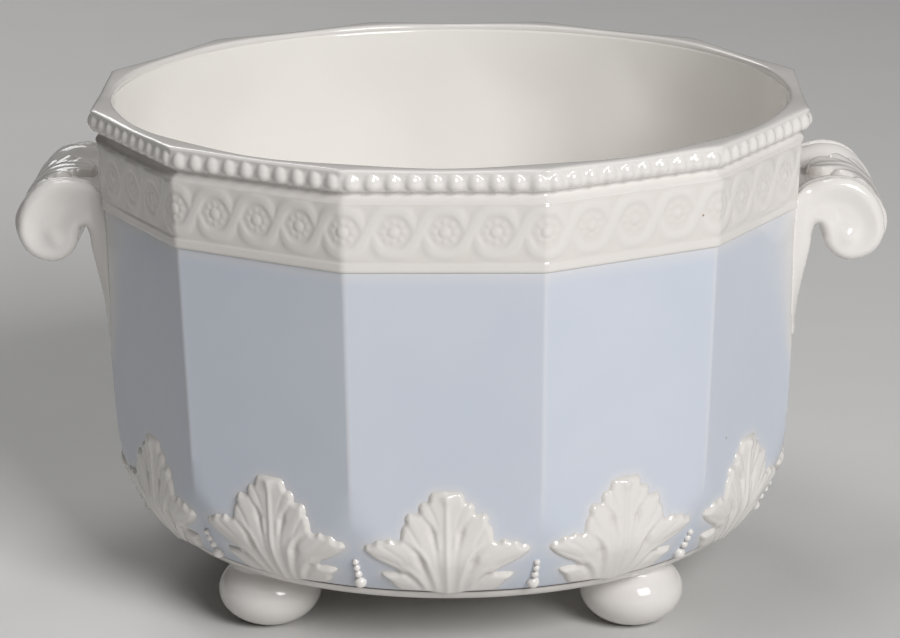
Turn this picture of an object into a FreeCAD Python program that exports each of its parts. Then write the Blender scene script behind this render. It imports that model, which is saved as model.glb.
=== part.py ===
# Cachepot: a twelve-sided glazed porcelain pot with two scroll handles, standing on four bun feet.
# Sizes are in millimetres. The origin is on the ground under the pot's axis, +Z is up,
# the front panel faces -Y and the right-hand handle points along +X.
import FreeCAD, Part
import math
import os

Vector = FreeCAD.Vector

# Plan: a regular polygon with a flat panel at the front
side_count = 12
handle_panels = (3, 9)
full_turn = 360.0
right_angle = 90.0
side_angle = full_turn / side_count
half_side = math.radians(side_angle / 2)

# Faceted wall, measured over its corners, and the height it stands
wall_foot_corner_radius = 127.2
wall_top_corner_radius = 134.0
wall_height = 144.1
wall_thickness = 4.7
floor_thickness = 6.0
cavity_fillet = 12.0

# Round turning that draws the wall's foot in
turn_depth = 13.4
turn_rise = 39.6
turn_middle_radius_share = 0.511
turn_middle_rise_share = 0.293

# Base ring luted under the wall
base_ring_height = 4.7
base_ring_step = 1.4
base_ring_inset = 4.8
base_ring_width = 39.6
base_ring_belly_radius_share = 0.36
base_ring_belly_rise_share = 0.42

# Bun feet
foot_count = 4
foot_height = 23.7
foot_radius = 18.8
foot_edge_inset = 14.0
foot_belly_share = 0.532
foot_round_share = 0.557

# Rim: fillet, cavetto, bead seat and lip, from the wall up
bead_diameter = 6.2
bead_clearance = 0.3
bead_gap = 0.5
rim_fillet_height = 1.7
rim_fillet_proud = 0.7
rim_cavetto_height = 3.0
rim_seat_depth = 1.0
rim_lip_height = 1.0
rim_lip_proud = 1.0

# Frieze: a thin strip with interlaced rings round rosettes and a plain lower border
frieze_height = 24.0
frieze_thickness = 0.5
frieze_plain_height = 4.1
rosettes_per_side = 4
strand_margin = 0.4
strand_width = 3.0
strand_height = 0.7
rosette_gap = 1.2
rosette_height = 0.3
rosette_boss_radius = 2.0
rosette_boss_rise = 0.7

# Acanthus leaf at the foot of each panel: the tips and notches of its right half, from root to tip,
# as shares of half its width and of its height, with a bulge for the edge between each two
leaf_corner_clearance = 4.95
leaf_height = 42.2
leaf_thickness = 1.5
leaf_rib_width = 5.0
leaf_rib_height = 0.8
leaf_curl_radius = 5.0
leaf_curl_rise = 0.9
leaf_curl_drop = 3.6
leaf_edge_bulge_share = 0.08
leaf_edge_shares = (
    (0.0, 0.0),
    (0.66, 0.02),
    (0.80, 0.18),
    (0.54, 0.20),
    (0.80, 0.30),
    (0.98, 0.37),
    (0.96, 0.49),
    (0.68, 0.575),
    (0.52, 0.53),
    (0.50, 0.73),
    (0.44, 0.80),
    (0.32, 0.79),
    (0.27, 0.895),
    (0.18, 0.965),
    (0.0, 1.0),
)

# Drop of graduated pearls on each corner, from the lowest pearl up
pearl_radii = (2.4, 1.75, 1.6, 1.5)
pearl_foot_gap = 1.4
pearl_gap = 0.15

# Scroll handle, as shares of its reach from the wall and of its crest-to-volute height
handle_edge_clearance = 0.9
handle_reach = 31.8
handle_depth = 30.6
handle_crest_drop = 27.3
handle_root_share = (-0.2, 0.17)
handle_arc_shares = (
    ((0.216, 0.030), (0.444, 0.0)),
    ((0.846, 0.26), (1.0, 0.574)),
    ((0.895, 0.835), (0.609, 1.0)),
    ((0.350, 0.89), (0.254, 0.636)),
    ((0.168, 0.548), (0.080, 0.636)),
    ((0.021, 1.1), (-0.07, 2.05)),
)
handle_tail_share = (-0.2, 2.05)

# Leaf on the handle's back, from its lobed tip by the wall to its stem over the volute:
# shares of half its width and of the handle's reach
handle_leaf_margin = 10.5
handle_leaf_thickness = 1.6
handle_leaf_drop_share = 0.5
handle_leaf_bulge_share = 0.2
handle_leaf_edge_shares = (
    (0.0, 0.14),
    (0.30, 0.27),
    (0.72, 0.20),
    (0.80, 0.40),
    (0.90, 0.72),
    (0.0, 1.25),
)

# One overrun serves every cut
overrun = 20.0

wall_foot_z = foot_height + base_ring_height
wall_top_z = wall_foot_z + wall_height
rim_seat_height = bead_diameter + 2 * bead_clearance
rim_seat_z = wall_top_z + rim_fillet_height + rim_cavetto_height
rim_lip_z = rim_seat_z + rim_seat_height
top_z = rim_lip_z + rim_lip_height
floor_z = wall_foot_z + floor_thickness
turn_foot_radius = wall_foot_corner_radius - turn_depth
base_ring_top_radius = turn_foot_radius - base_ring_step
base_ring_bottom_radius = base_ring_top_radius - base_ring_inset
handle_crest_z = top_z - handle_crest_drop
lip_radius = wall_top_corner_radius + rim_lip_proud
seat_radius = wall_top_corner_radius - rim_seat_depth


def wall_corner_radius(z):
    """Corner radius of the faceted wall at a height, carried on above and below it."""
    share = (z - wall_foot_z) / wall_height
    return wall_foot_corner_radius + share * (wall_top_corner_radius - wall_foot_corner_radius)


def panel_width(z):
    """Distance between the two corners of a panel at a height."""
    return 2 * wall_corner_radius(z) * math.sin(half_side)


def wall_apothem(z):
    """Distance from the axis to the middle of a panel at a height."""
    return wall_corner_radius(z) * math.cos(half_side)


def polygon(corner_radius, z):
    """The plan's polygon as a closed wire, with the front panel across -Y."""
    points = []
    for index in range(side_count + 1):
        angle = math.radians(side_angle * index - right_angle) + half_side
        points.append(Vector(corner_radius * math.cos(angle), corner_radius * math.sin(angle), z))
    return Part.makePolygon(points)


def frustum(low_z, low_radius, high_z, high_radius):
    """A straight-sided solid between two polygons of the plan."""
    return Part.makeLoft([polygon(low_radius, low_z), polygon(high_radius, high_z)], True, True)


def grown_wall(growth, low_z, high_z):
    """The wall's outer form between two heights, with its panels moved outwards."""
    more = growth / math.cos(half_side)
    return frustum(low_z, wall_corner_radius(low_z) + more, high_z, wall_corner_radius(high_z) + more)


def spun(edges):
    """A closed outline of edges in the XZ plane, turned round the Z axis."""
    face = Part.Face(Part.Wire(edges))
    return face.revolve(Vector(0, 0, 0), Vector(0, 0, 1), full_turn)


def section(radius, z):
    """A point of a turned outline."""
    return Vector(radius, 0, z)


def line(start, end):
    """A straight edge."""
    return Part.LineSegment(start, end).toShape()


def arc(start, middle, end):
    """A round edge through three points."""
    return Part.Arc(start, middle, end).toShape()


def turned(shape, panel):
    """A copy of a shape made at the front panel, carried round to another panel."""
    copy = shape.copy()
    copy.rotate(Vector(0, 0, 0), Vector(0, 0, 1), side_angle * panel)
    return copy


def turned_foot(growth):
    """The round form that the wall's foot is turned to, open above the turning."""
    turn_top_z = wall_foot_z + turn_rise
    low_radius = turn_foot_radius + growth
    high_radius = wall_corner_radius(turn_top_z) + growth
    middle_radius = low_radius + turn_middle_radius_share * (high_radius - low_radius)
    outside = high_radius + wall_height
    start = section(low_radius, wall_foot_z)
    middle = section(middle_radius, wall_foot_z + turn_middle_rise_share * turn_rise)
    end = section(high_radius, turn_top_z)
    edges = [
        line(section(0, wall_foot_z), start),
        arc(start, middle, end),
        line(end, section(outside, turn_top_z)),
        line(section(outside, turn_top_z), section(outside, top_z)),
        line(section(outside, top_z), section(0, top_z)),
        line(section(0, top_z), section(0, wall_foot_z)),
    ]
    return spun(edges)


def cavity():
    """The round inside of the pot, carried on above the mouth."""
    above_z = top_z + overrun
    above_radius = wall_apothem(above_z) - wall_thickness
    spring_z = floor_z + cavity_fillet
    spring_radius = wall_apothem(spring_z) - wall_thickness
    flat_radius = spring_radius - cavity_fillet
    half_way = cavity_fillet * math.cos(math.radians(right_angle / 2))
    bend = section(flat_radius + half_way, spring_z - half_way)
    edges = [
        line(section(0, floor_z), section(flat_radius, floor_z)),
        arc(section(flat_radius, floor_z), bend, section(spring_radius, spring_z)),
        line(section(spring_radius, spring_z), section(above_radius, above_z)),
        line(section(above_radius, above_z), section(0, above_z)),
        line(section(0, above_z), section(0, floor_z)),
    ]
    return spun(edges)


def outer_form(growth):
    """The pot's outside below the rim, with every face moved outwards."""
    return grown_wall(growth, wall_foot_z, wall_top_z).common(turned_foot(growth))


def pot_body():
    """The cast wall and floor in one piece."""
    return outer_form(0).cut(cavity())


def base_ring():
    """The round ring under the wall that the feet are fixed to."""
    inner_radius = base_ring_top_radius - base_ring_width
    start = section(base_ring_bottom_radius, foot_height)
    end = section(base_ring_top_radius, wall_foot_z)
    belly_radius = base_ring_top_radius - base_ring_belly_radius_share * base_ring_inset
    belly = section(belly_radius, foot_height + base_ring_belly_rise_share * base_ring_height)
    edges = [
        line(section(inner_radius, foot_height), start),
        arc(start, belly, end),
        line(end, section(inner_radius, wall_foot_z)),
        line(section(inner_radius, wall_foot_z), section(inner_radius, foot_height)),
    ]
    return spun(edges)


def foot(angle):
    """One bun foot: a flattened ball, cut flat where it stands and where it meets the base ring."""
    half_height = foot_round_share * foot_height
    belly_z = foot_belly_share * foot_height
    ground_radius = foot_radius * math.sqrt(1 - (belly_z / half_height) ** 2)
    top_radius = foot_radius * math.sqrt(1 - ((foot_height - belly_z) / half_height) ** 2)
    oval = Part.Ellipse(section(foot_radius, belly_z), section(0, belly_z + half_height), section(0, belly_z))
    low = section(ground_radius, 0)
    high = section(top_radius, foot_height)
    side = Part.ArcOfEllipse(oval, oval.parameter(low), oval.parameter(high)).toShape()
    edges = [
        line(section(0, 0), low),
        side,
        line(high, section(0, foot_height)),
        line(section(0, foot_height), section(0, 0)),
    ]
    solid = spun(edges)
    distance = base_ring_bottom_radius - foot_edge_inset
    solid.translate(Vector(distance * math.cos(angle), distance * math.sin(angle), 0))
    return solid


def rim_ring():
    """The twelve-sided rim with its round mouth: fillet, cavetto, bead seat and lip."""
    fillet_radius = wall_top_corner_radius + rim_fillet_proud
    fillet_z = wall_top_z + rim_fillet_height
    fillet = frustum(wall_top_z, fillet_radius, fillet_z, fillet_radius)
    cavetto = frustum(fillet_z, wall_top_corner_radius, rim_seat_z, seat_radius)
    seat = frustum(rim_seat_z, seat_radius, rim_lip_z, seat_radius)
    lip = frustum(rim_lip_z, lip_radius, top_z, lip_radius)
    return fillet.fuse([cavetto, seat, lip]).cut(cavity()).removeSplitter()


def rim_beads():
    """Half-round beads side by side on every face of the rim's seat."""
    seat_side = 2 * seat_radius * math.sin(half_side)
    count = math.floor(seat_side / (bead_diameter + bead_gap))
    pitch = seat_side / count
    centre_z = rim_seat_z + rim_seat_height / 2
    face_y = -seat_radius * math.cos(half_side)
    beads = []
    for panel in range(side_count):
        for index in range(count):
            place = Vector((index - (count - 1) / 2) * pitch, face_y, centre_z)
            bead = Part.makeSphere(bead_diameter / 2, place, Vector(0, -1, 0), 0, right_angle, full_turn)
            beads.append(turned(bead, panel))
    return Part.makeCompound(beads)


def panel_wedge():
    """The slice of the plan that belongs to the front panel, between its two corners."""
    reach = wall_top_corner_radius + overrun
    half_width = reach * math.tan(half_side)
    points = [Vector(0, 0, 0), Vector(-half_width, -reach, 0), Vector(half_width, -reach, 0), Vector(0, 0, 0)]
    return Part.Face(Part.makePolygon(points)).extrude(Vector(0, 0, top_z))


def frieze_panel():
    """The front panel's frieze: a strip with rings and rosettes in relief, mitred at the corners."""
    low_z = wall_top_z - frieze_height
    field_height = frieze_height - frieze_plain_height
    centre_z = wall_top_z - field_height / 2
    ring_radius = field_height / 2 - strand_margin
    inner_radius = ring_radius - strand_width
    rosette_radius = inner_radius - rosette_gap
    pitch = panel_width(centre_z) / rosettes_per_side
    flare = math.atan((wall_apothem(wall_top_z) - wall_apothem(low_z)) / frieze_height)
    outward = Vector(0, -math.cos(flare), -math.sin(flare))
    face_y = -wall_apothem(centre_z) - frieze_thickness
    pieces = []
    for index in range(rosettes_per_side + 1):
        place = Vector((index - rosettes_per_side / 2) * pitch, face_y, centre_z)
        root = place - outward * frieze_thickness
        ring = Part.makeCylinder(ring_radius, frieze_thickness + strand_height, root, outward)
        hollow = Part.makeCylinder(inner_radius, frieze_thickness + strand_height + overrun, place, outward)
        rosette = Part.makeCylinder(rosette_radius, frieze_thickness + rosette_height, root, outward)
        boss_place = place + outward * (rosette_height + rosette_boss_rise - rosette_boss_radius)
        boss = Part.makeSphere(rosette_boss_radius, boss_place)
        pieces += [ring.cut(hollow), rosette, boss]
    strip = grown_wall(frieze_thickness, low_z, wall_top_z)
    relief = strip.fuse(pieces).common(panel_wedge())
    return relief.cut(outer_form(0)).removeSplitter()


def leaf_outline(shares, half_width, length, bulge_share, place):
    """A closed wire through the tips and notches of a leaf's right half and their mirror on the left."""
    halves = ([], [])
    for (near, low), (far, high) in zip(shares, shares[1:]):
        sideways = (far - near) * half_width
        along = (high - low) * length
        middle_sideways = (near + far) / 2 * half_width + bulge_share * along
        middle_along = (low + high) / 2 * length - bulge_share * sideways
        for side, edges in zip((1, -1), halves):
            start = place(side * near * half_width, low * length)
            middle = place(side * middle_sideways, middle_along)
            edges.append(arc(start, middle, place(side * far * half_width, high * length)))
    return Part.Wire(halves[0] + halves[1][::-1])


def acanthus_leaf(body):
    """The front panel's leaf: a lobed plate that follows the wall, with a rib and a curled tip."""
    def place(sideways, along):
        return Vector(sideways, 0, wall_foot_z + along)

    reach = Vector(0, -wall_top_corner_radius - overrun, 0)
    half_width = panel_width(wall_foot_z) / 2 - leaf_corner_clearance
    outline = leaf_outline(leaf_edge_shares, half_width, leaf_height, leaf_edge_bulge_share, place)
    plate = Part.Face(outline).extrude(reach).common(outer_form(leaf_thickness))
    half_rib = leaf_rib_width / 2
    stem_top = place(0, leaf_height - leaf_curl_drop)
    rib_points = [place(-half_rib, 0), place(half_rib, 0), stem_top, place(-half_rib, 0)]
    rib_form = outer_form(leaf_thickness + leaf_rib_height)
    rib = Part.Face(Part.makePolygon(rib_points)).extrude(reach).common(rib_form)
    curl_y = leaf_curl_radius - wall_apothem(stem_top.z) - leaf_thickness - leaf_curl_rise
    curl = Part.makeSphere(leaf_curl_radius, Vector(0, curl_y, stem_top.z))
    return plate.fuse([rib, curl]).cut(body).cut(cavity()).removeSplitter()


def pearl_drop(body):
    """Graduated pearls one above the other on the corner to the right of the front panel."""
    arris_angle = half_side - math.radians(right_angle)
    outward = Vector(math.cos(arris_angle), math.sin(arris_angle), 0)
    pearls = []
    z = wall_foot_z + pearl_foot_gap
    for radius in pearl_radii:
        z += radius
        axis = Vector(0, 0, z)
        ray = line(axis, axis + outward * lip_radius)
        arris = max(ray.common(body).Vertexes, key=lambda vertex: vertex.Point.Length).Point
        pearls.append(Part.makeSphere(radius, arris, outward).cut(body))
        z += radius + pearl_gap
    return Part.makeCompound(pearls)


def handle_place(along, down):
    """A point of the right handle's outline, in the plane of its profile."""
    root_x = wall_apothem(handle_crest_z)
    return Vector(root_x + along * handle_reach, 0, handle_crest_z - down * handle_depth)


def handle_outline():
    """The comma-shaped profile of a handle with its tail, closed inside the wall."""
    edges = []
    start = handle_root_share
    for middle, end in handle_arc_shares:
        edges.append(arc(handle_place(*start), handle_place(*middle), handle_place(*end)))
        start = end
    edges.append(line(handle_place(*start), handle_place(*handle_tail_share)))
    edges.append(line(handle_place(*handle_tail_share), handle_place(*handle_root_share)))
    return Part.Wire(edges)


def across_panel(face):
    """A handle profile given the handle's width along Y."""
    width = panel_width(handle_crest_z) - 2 * handle_edge_clearance
    solid = face.extrude(Vector(0, width, 0))
    solid.translate(Vector(0, -width / 2, 0))
    return solid


def handle(body):
    """The right handle: a broad scroll with a finger gap behind it and a tail down the panel."""
    return across_panel(Part.Face(handle_outline())).cut(body).cut(cavity())


def handle_leaf(scroll):
    """A lobed leaf lying on the back of the right handle, from the neck over the crest to the volute."""
    lowest = handle_place(0, handle_leaf_drop_share)

    def place(sideways, along):
        return lowest + Vector(along, sideways, 0)

    half_width = panel_width(handle_crest_z) / 2 - handle_edge_clearance - handle_leaf_margin
    outline = leaf_outline(handle_leaf_edge_shares, half_width, handle_reach, handle_leaf_bulge_share, place)
    plan = Part.Face(outline).extrude(Vector(0, 0, handle_depth + overrun))
    grown = Part.Face(handle_outline().makeOffset2D(handle_leaf_thickness))
    return across_panel(grown).common(plan).cut(scroll)


def main():
    """Makes every piece and writes it to its own file."""
    body = pot_body()
    right_handle = handle(body)
    right_handle_leaf = handle_leaf(right_handle)
    front_frieze = frieze_panel()
    front_leaf = acanthus_leaf(body)
    corner_drop = pearl_drop(body)
    nodes = {
        "pot_body": body,
        "base_ring": base_ring(),
        "rim_ring": rim_ring(),
        "rim_beads": rim_beads(),
    }
    foot_names = ("back_right", "back_left", "front_left", "front_right")
    for index, name in enumerate(foot_names):
        nodes["foot_" + name] = foot(math.radians((index + 1 / 2) * full_turn / foot_count))
    for side, panel in zip(("right", "left"), handle_panels):
        steps = panel - handle_panels[0]
        nodes["handle_" + side] = turned(right_handle, steps)
        nodes["handle_leaf_" + side] = turned(right_handle_leaf, steps)
    for panel in range(side_count):
        number = "_%02d" % (panel + 1)
        frieze = turned(front_frieze, panel)
        if panel in handle_panels:
            frieze = frieze.cut(turned(right_handle, panel - handle_panels[0]))
        nodes["frieze_panel" + number] = frieze
        nodes["acanthus_leaf" + number] = turned(front_leaf, panel)
        nodes["pearl_drop" + number] = turned(corner_drop, panel)

    os.makedirs("parts", exist_ok=True)
    for name, shape in nodes.items():
        shape.exportStep("parts/" + name + ".step")
        print(name, len(shape.Solids), "solids", round(shape.Volume), "mm3")


main()
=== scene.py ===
# %% [markdown]
# # A faceted porcelain cachepot
# This lesson builds the looks of a twelve-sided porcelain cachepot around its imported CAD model. The pot
# is cast and glazed: white inside, on its rim, frieze, handles, leaves and feet, and pale grey-blue on
# its panels. Thick glaze rounds every edge, so most of the work is in giving each form its soft, fused
# look.

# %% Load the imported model
import math
from contextlib import contextmanager

import bpy
import numpy as np
from mathutils import Matrix, Vector


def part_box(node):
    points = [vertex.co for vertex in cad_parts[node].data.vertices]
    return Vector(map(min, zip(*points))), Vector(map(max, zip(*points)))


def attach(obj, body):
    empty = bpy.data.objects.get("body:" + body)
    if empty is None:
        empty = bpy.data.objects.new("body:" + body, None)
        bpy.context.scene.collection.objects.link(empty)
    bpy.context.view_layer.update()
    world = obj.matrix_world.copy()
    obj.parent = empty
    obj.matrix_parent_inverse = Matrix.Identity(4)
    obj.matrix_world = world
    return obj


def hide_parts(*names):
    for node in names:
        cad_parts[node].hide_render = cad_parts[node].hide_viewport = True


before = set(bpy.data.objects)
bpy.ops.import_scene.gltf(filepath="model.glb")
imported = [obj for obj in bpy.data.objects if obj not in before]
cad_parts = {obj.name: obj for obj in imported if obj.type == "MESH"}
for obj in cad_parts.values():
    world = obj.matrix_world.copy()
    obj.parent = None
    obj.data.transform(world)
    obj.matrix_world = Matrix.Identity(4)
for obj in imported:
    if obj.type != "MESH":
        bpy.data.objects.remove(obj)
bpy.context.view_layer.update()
MM = 0.001

# %% [markdown]
# ## Reading sizes from the frame
# Every piece has to sit where the CAD puts it, so the heights and radii come from the boxes of the CAD
# nodes. A twelve-sided pot is measured by its apothem, the distance from the axis to the middle of a flat
# side, because that is what a box shows. The sides lean out a little from the foot to the rim. The two
# sides that carry the handles are set back a little between the rim and the lower wall.

# %% Heights and widths of the pot
SIDES = 12
HALF_SIDE = math.pi / SIDES


def low_and_high(node):
    """The lowest and highest corner of a CAD node, in mm."""
    return [np.array(corner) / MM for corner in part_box(node)]


foot_top = low_and_high("foot_front_right")[1][2]
wall_low, wall_high = low_and_high("pot_body")
WALL_BOTTOM, WALL_TOP = wall_low[2], wall_high[2]
RIM_TOP = low_and_high("rim_ring")[1][2]
TOP_APOTHEM = wall_high[0]
CORNER_SPREAD = 6.8  # how much further out the corners stand at the top than at the foot
LEAN = CORNER_SPREAD * math.cos(HALF_SIDE) / (WALL_TOP - WALL_BOTTOM)
print("wall", round(WALL_BOTTOM, 2), "to", round(WALL_TOP, 2), "rim top", round(RIM_TOP, 2),
      "apothem", round(TOP_APOTHEM, 2), "foot top", round(foot_top, 2))


def wall_apothem(z):
    return TOP_APOTHEM + LEAN * (z - WALL_TOP)


NECK_HEIGHT = 175.5
SET_BACK_HEIGHTS = [86, 112, 138, 172.5, NECK_HEIGHT]
SET_BACK_DEPTHS = [-0.6, 1.5, 2.6, 2.6, -0.6]
SET_BACK_SOFT = 0.6


def handle_side(z):
    """How deep the two sides that carry the handles are set back; below 0 they aren't."""
    return np.interp(z, SET_BACK_HEIGHTS, SET_BACK_DEPTHS)


# %% [markdown]
# ## Rounded sides
# A cast arris is never sharp: the mould is worn and the glaze flows over it. A bevel on a twelve-sided
# cylinder would round the arrises, but the beads, the frieze and the leaves all have to follow the same
# rounded side. So the side is described once, as a flat with an arc at each end, and every piece that
# lies on it asks this helper for its place. Two heights are joined with a soft fillet, as glaze would
# leave it.

# %% Helpers for a rounded side and a soft join
def rounded_side(across, apothem, rounding):
    """A point along a rounded side: how far sideways, how far out, and the turn of the surface."""
    flat = (apothem - rounding) * math.tan(HALF_SIDE)
    turn = np.maximum(np.abs(across) - flat, 0) / rounding
    sideways = np.sign(across) * (np.minimum(np.abs(across), flat) + rounding * np.sin(turn))
    return sideways, apothem - rounding + rounding * np.cos(turn), np.sign(across) * turn


def half_length(apothem, rounding):
    return (apothem - rounding) * math.tan(HALF_SIDE) + rounding * HALF_SIDE


def soft_low(a, b, soft):
    """The lower of two values, with a fillet where they cross."""
    share = np.clip(0.5 + 0.5 * (b - a) / soft, 0, 1)
    return b + (a - b) * share - soft * share * (1 - share)


def soft_high(a, b, soft):
    return -soft_low(-a, -b, soft)


def ease(x, start, end):
    """0 before start, 1 after end, and a smooth rise between."""
    share = np.clip((x - start) / (end - start), 0, 1)
    return share * share * (3 - 2 * share)


def set_back(x, z, proud):
    """Presses in the sides that carry the handles; proud is how far a piece stands off the wall there."""
    return np.sign(x) * soft_low(np.abs(x), wall_apothem(z) + proud - handle_side(z), SET_BACK_SOFT)


ARRIS = 4.0
print("one rounded side at the rim is", round(2 * half_length(TOP_APOTHEM, ARRIS), 2), "mm long")

# %% [markdown]
# ## Working with sheets
# The wall, the rim and the frieze are each a grid primitive, like a sheet of clay ruled in squares. The
# sheet is laid over its form by moving its points, rolled up until its ends meet, and welded. Every
# square then follows the form, which keeps the reflections in the gloss clean. A boolean cut would leave
# long thin triangles, and those show as streaks under a glaze.

# %% Helpers for sheets
def deselect():
    if bpy.context.mode != "OBJECT":
        bpy.ops.object.mode_set(mode="OBJECT")
    bpy.ops.object.select_all(action="DESELECT")


def only(piece):
    deselect()
    piece.select_set(True)
    bpy.context.view_layer.objects.active = piece


def named(name):
    """The piece that an operator has just made, with its name."""
    piece = bpy.context.active_object
    piece.name = piece.data.name = name
    return piece


@contextmanager
def editing(piece):
    """Edit mode with all of a piece selected, and back to object mode."""
    only(piece)
    bpy.ops.object.mode_set(mode="EDIT")
    bpy.ops.mesh.select_all(action="SELECT")
    yield
    bpy.ops.object.mode_set(mode="OBJECT")


def points(piece):
    spots = np.empty(len(piece.data.vertices) * 3)
    piece.data.vertices.foreach_get("co", spots)
    return spots.reshape(-1, 3)


def place(piece, x, y, z):
    """Moves every point of a piece; x, y and z are in mm."""
    spots = np.stack(np.broadcast_arrays(x, y, z), axis=-1) * MM
    piece.data.vertices.foreach_set("co", spots.ravel())
    piece.data.update()


def clay_sheet(name, columns, rows):
    """A grid primitive, with the number of each point's column and row."""
    deselect()
    bpy.ops.mesh.primitive_grid_add(x_subdivisions=columns, y_subdivisions=rows, size=2)
    piece = named(name)
    spots = points(piece)
    column = np.rint((spots[:, 0] + 1) / 2 * columns).astype(int)
    row = np.rint((spots[:, 1] + 1) / 2 * rows).astype(int)
    return piece, column, row


def weld(piece, gap=0.002):
    """Merges points that meet and turns all faces outwards."""
    with editing(piece):
        bpy.ops.mesh.remove_doubles(threshold=gap * MM)
        bpy.ops.mesh.normals_make_consistent(inside=False)
    bpy.ops.object.shade_smooth()


def mark(piece, name, values):
    """Writes a value for each point, for a material to read."""
    layer = piece.data.attributes.new(name, "FLOAT", "POINT")
    layer.data.foreach_set("value", np.asarray(values, dtype=np.float32))


def told(piece):
    triangles = sum(len(f.vertices) - 2 for f in piece.data.polygons)
    print(piece.name, "has", triangles, "triangles")


# %% [markdown]
# ## The wall and floor of the pot
# The pot is one casting: twelve leaning panels outside, rounded in towards the foot, a soft twelve-sided
# inside that turns into a true circle at the mouth, and a flat floor with a broad fillet. It could be a
# cylinder that is cut with booleans. Here it is a sheet with a row for each height of its section, from
# the middle of the underside, up the outside, over the top and down the inside to the middle of the
# floor.

# %% The turned foot of the wall
def circle_through(a, b, c):
    """Middle and radius of the circle through three (radius, height) points."""
    rows = np.array([[2 * (p[0] - a[0]), 2 * (p[1] - a[1])] for p in (b, c)])
    sums = np.array([p[0] ** 2 + p[1] ** 2 - a[0] ** 2 - a[1] ** 2 for p in (b, c)])
    middle = np.linalg.solve(rows, sums)
    return middle, math.dist(middle, a)


FOOT_RADIUS = 113.8
TURN_MIDWAY = (121.6, 40.0)
TURN_END = 68.0
TURN_SOFT = 1.2  # fillet where the turning meets the panels
RUN_OUT = 0.4  # how fast the turning leaves the panels above its end
turn_top = wall_apothem(TURN_END) / math.cos(HALF_SIDE)
turn_middle, turn_radius = circle_through((FOOT_RADIUS, WALL_BOTTOM), TURN_MIDWAY, (turn_top, TURN_END))
print("foot turning: radius", round(turn_radius, 1), "round", np.round(turn_middle, 1))


def turned_radius(z):
    """The round form that cuts the panels off towards the foot."""
    inside = np.minimum(z, TURN_END) - turn_middle[1]
    above = np.maximum(z - TURN_END, 0)
    return turn_middle[0] + np.sqrt(turn_radius ** 2 - inside ** 2) + above * RUN_OUT


# %% Rows of the wall's section
WALL_THICKNESS = 4.7
FLOOR_TOP = WALL_BOTTOM + 6.0
FLOOR_FILLET = 12.0
INSIDE_ROUNDING = 70.0
ROUND_FROM, ROUND_TO = 150, 179  # heights between which the inside turns into a circle
EDGE_DRAWN_IN, EDGE_HEIGHT = 0.7, 0.9  # the wall's lowest edge is rounded
UNDER_RIM = ((126.6, 174.5), (126.4, 179.0), (126.2, 182.4), (125.9, 182.9))
NEARLY_ROUND = 0.97
NO_TURNING = 999
MIDDLE = 0.001  # stands for a radius of zero

section = []  # apothem, rounding of the arris, radius of the turning, height
for radius in (MIDDLE, 30, 60, 90, 108, 112.6):
    section.append((radius, radius, NO_TURNING, WALL_BOTTOM))
for z in np.concatenate([WALL_BOTTOM + np.array([0.12, 0.4, 0.8]), np.linspace(WALL_BOTTOM + 1.4, 74, 56),
                         np.linspace(77, WALL_TOP, 24)]):
    drawn_in = EDGE_DRAWN_IN * (1 - ease(z, WALL_BOTTOM, WALL_BOTTOM + EDGE_HEIGHT))
    section.append((wall_apothem(z), ARRIS, turned_radius(z) - drawn_in, z))
for apothem, z in UNDER_RIM:
    section.append((apothem, apothem * NEARLY_ROUND, NO_TURNING, z))
for z in np.concatenate([[182.6, 181.5, 180.0], np.linspace(178, FLOOR_TOP + FLOOR_FILLET, 34)]):
    apothem = wall_apothem(z) - WALL_THICKNESS
    rounding = INSIDE_ROUNDING + (apothem - INSIDE_ROUNDING) * ease(z, ROUND_FROM, ROUND_TO)
    section.append((apothem, rounding, NO_TURNING, z))
inside_foot = wall_apothem(FLOOR_TOP + FLOOR_FILLET) - WALL_THICKNESS
for angle in np.linspace(0, math.pi / 2, 11)[1:]:
    section.append((inside_foot - FLOOR_FILLET * (1 - math.cos(angle)), INSIDE_ROUNDING, NO_TURNING,
                    FLOOR_TOP + FLOOR_FILLET * (1 - math.sin(angle))))
for radius in (95, 70, 40, MIDDLE):
    section.append((radius, radius, NO_TURNING, FLOOR_TOP))
section = np.array(section)
outer_rows = (section[:, 2] < NO_TURNING).nonzero()[0]
print("the wall's section has", len(section), "rows")

# %% The pot's wall as one sheet
FLAT_SHARE = 0.96  # outside it the columns lie closer, for the arris
steps = np.concatenate([np.linspace(-1, -FLAT_SHARE, 6)[:-1], np.linspace(-FLAT_SHARE, FLAT_SHARE, 39),
                        np.linspace(FLAT_SHARE, 1, 6)[1:-1]])
pot, column, row = clay_sheet("pot_body_glazed", SIDES * len(steps), len(section) - 1)
side, step = np.divmod(column, len(steps))
apothem, rounding, turning, height = section[row].T
along = steps[step] * half_length(apothem, rounding)
sideways, outwards, _ = rounded_side(along, apothem, rounding)
radius = np.hypot(sideways, outwards)
shrink = soft_low(radius, turning, TURN_SOFT) / radius
angle = np.arctan2(sideways, outwards) + side * 2 * HALF_SIDE - math.pi / 2
radius = radius * np.where(turning < NO_TURNING, shrink, 1)
outside = np.isin(row, outer_rows)
x = radius * np.cos(angle)
place(pot, np.where(outside, set_back(x, height, 0), x), radius * np.sin(angle), height)
print("the wall's sheet has", len(x), "points")

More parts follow.
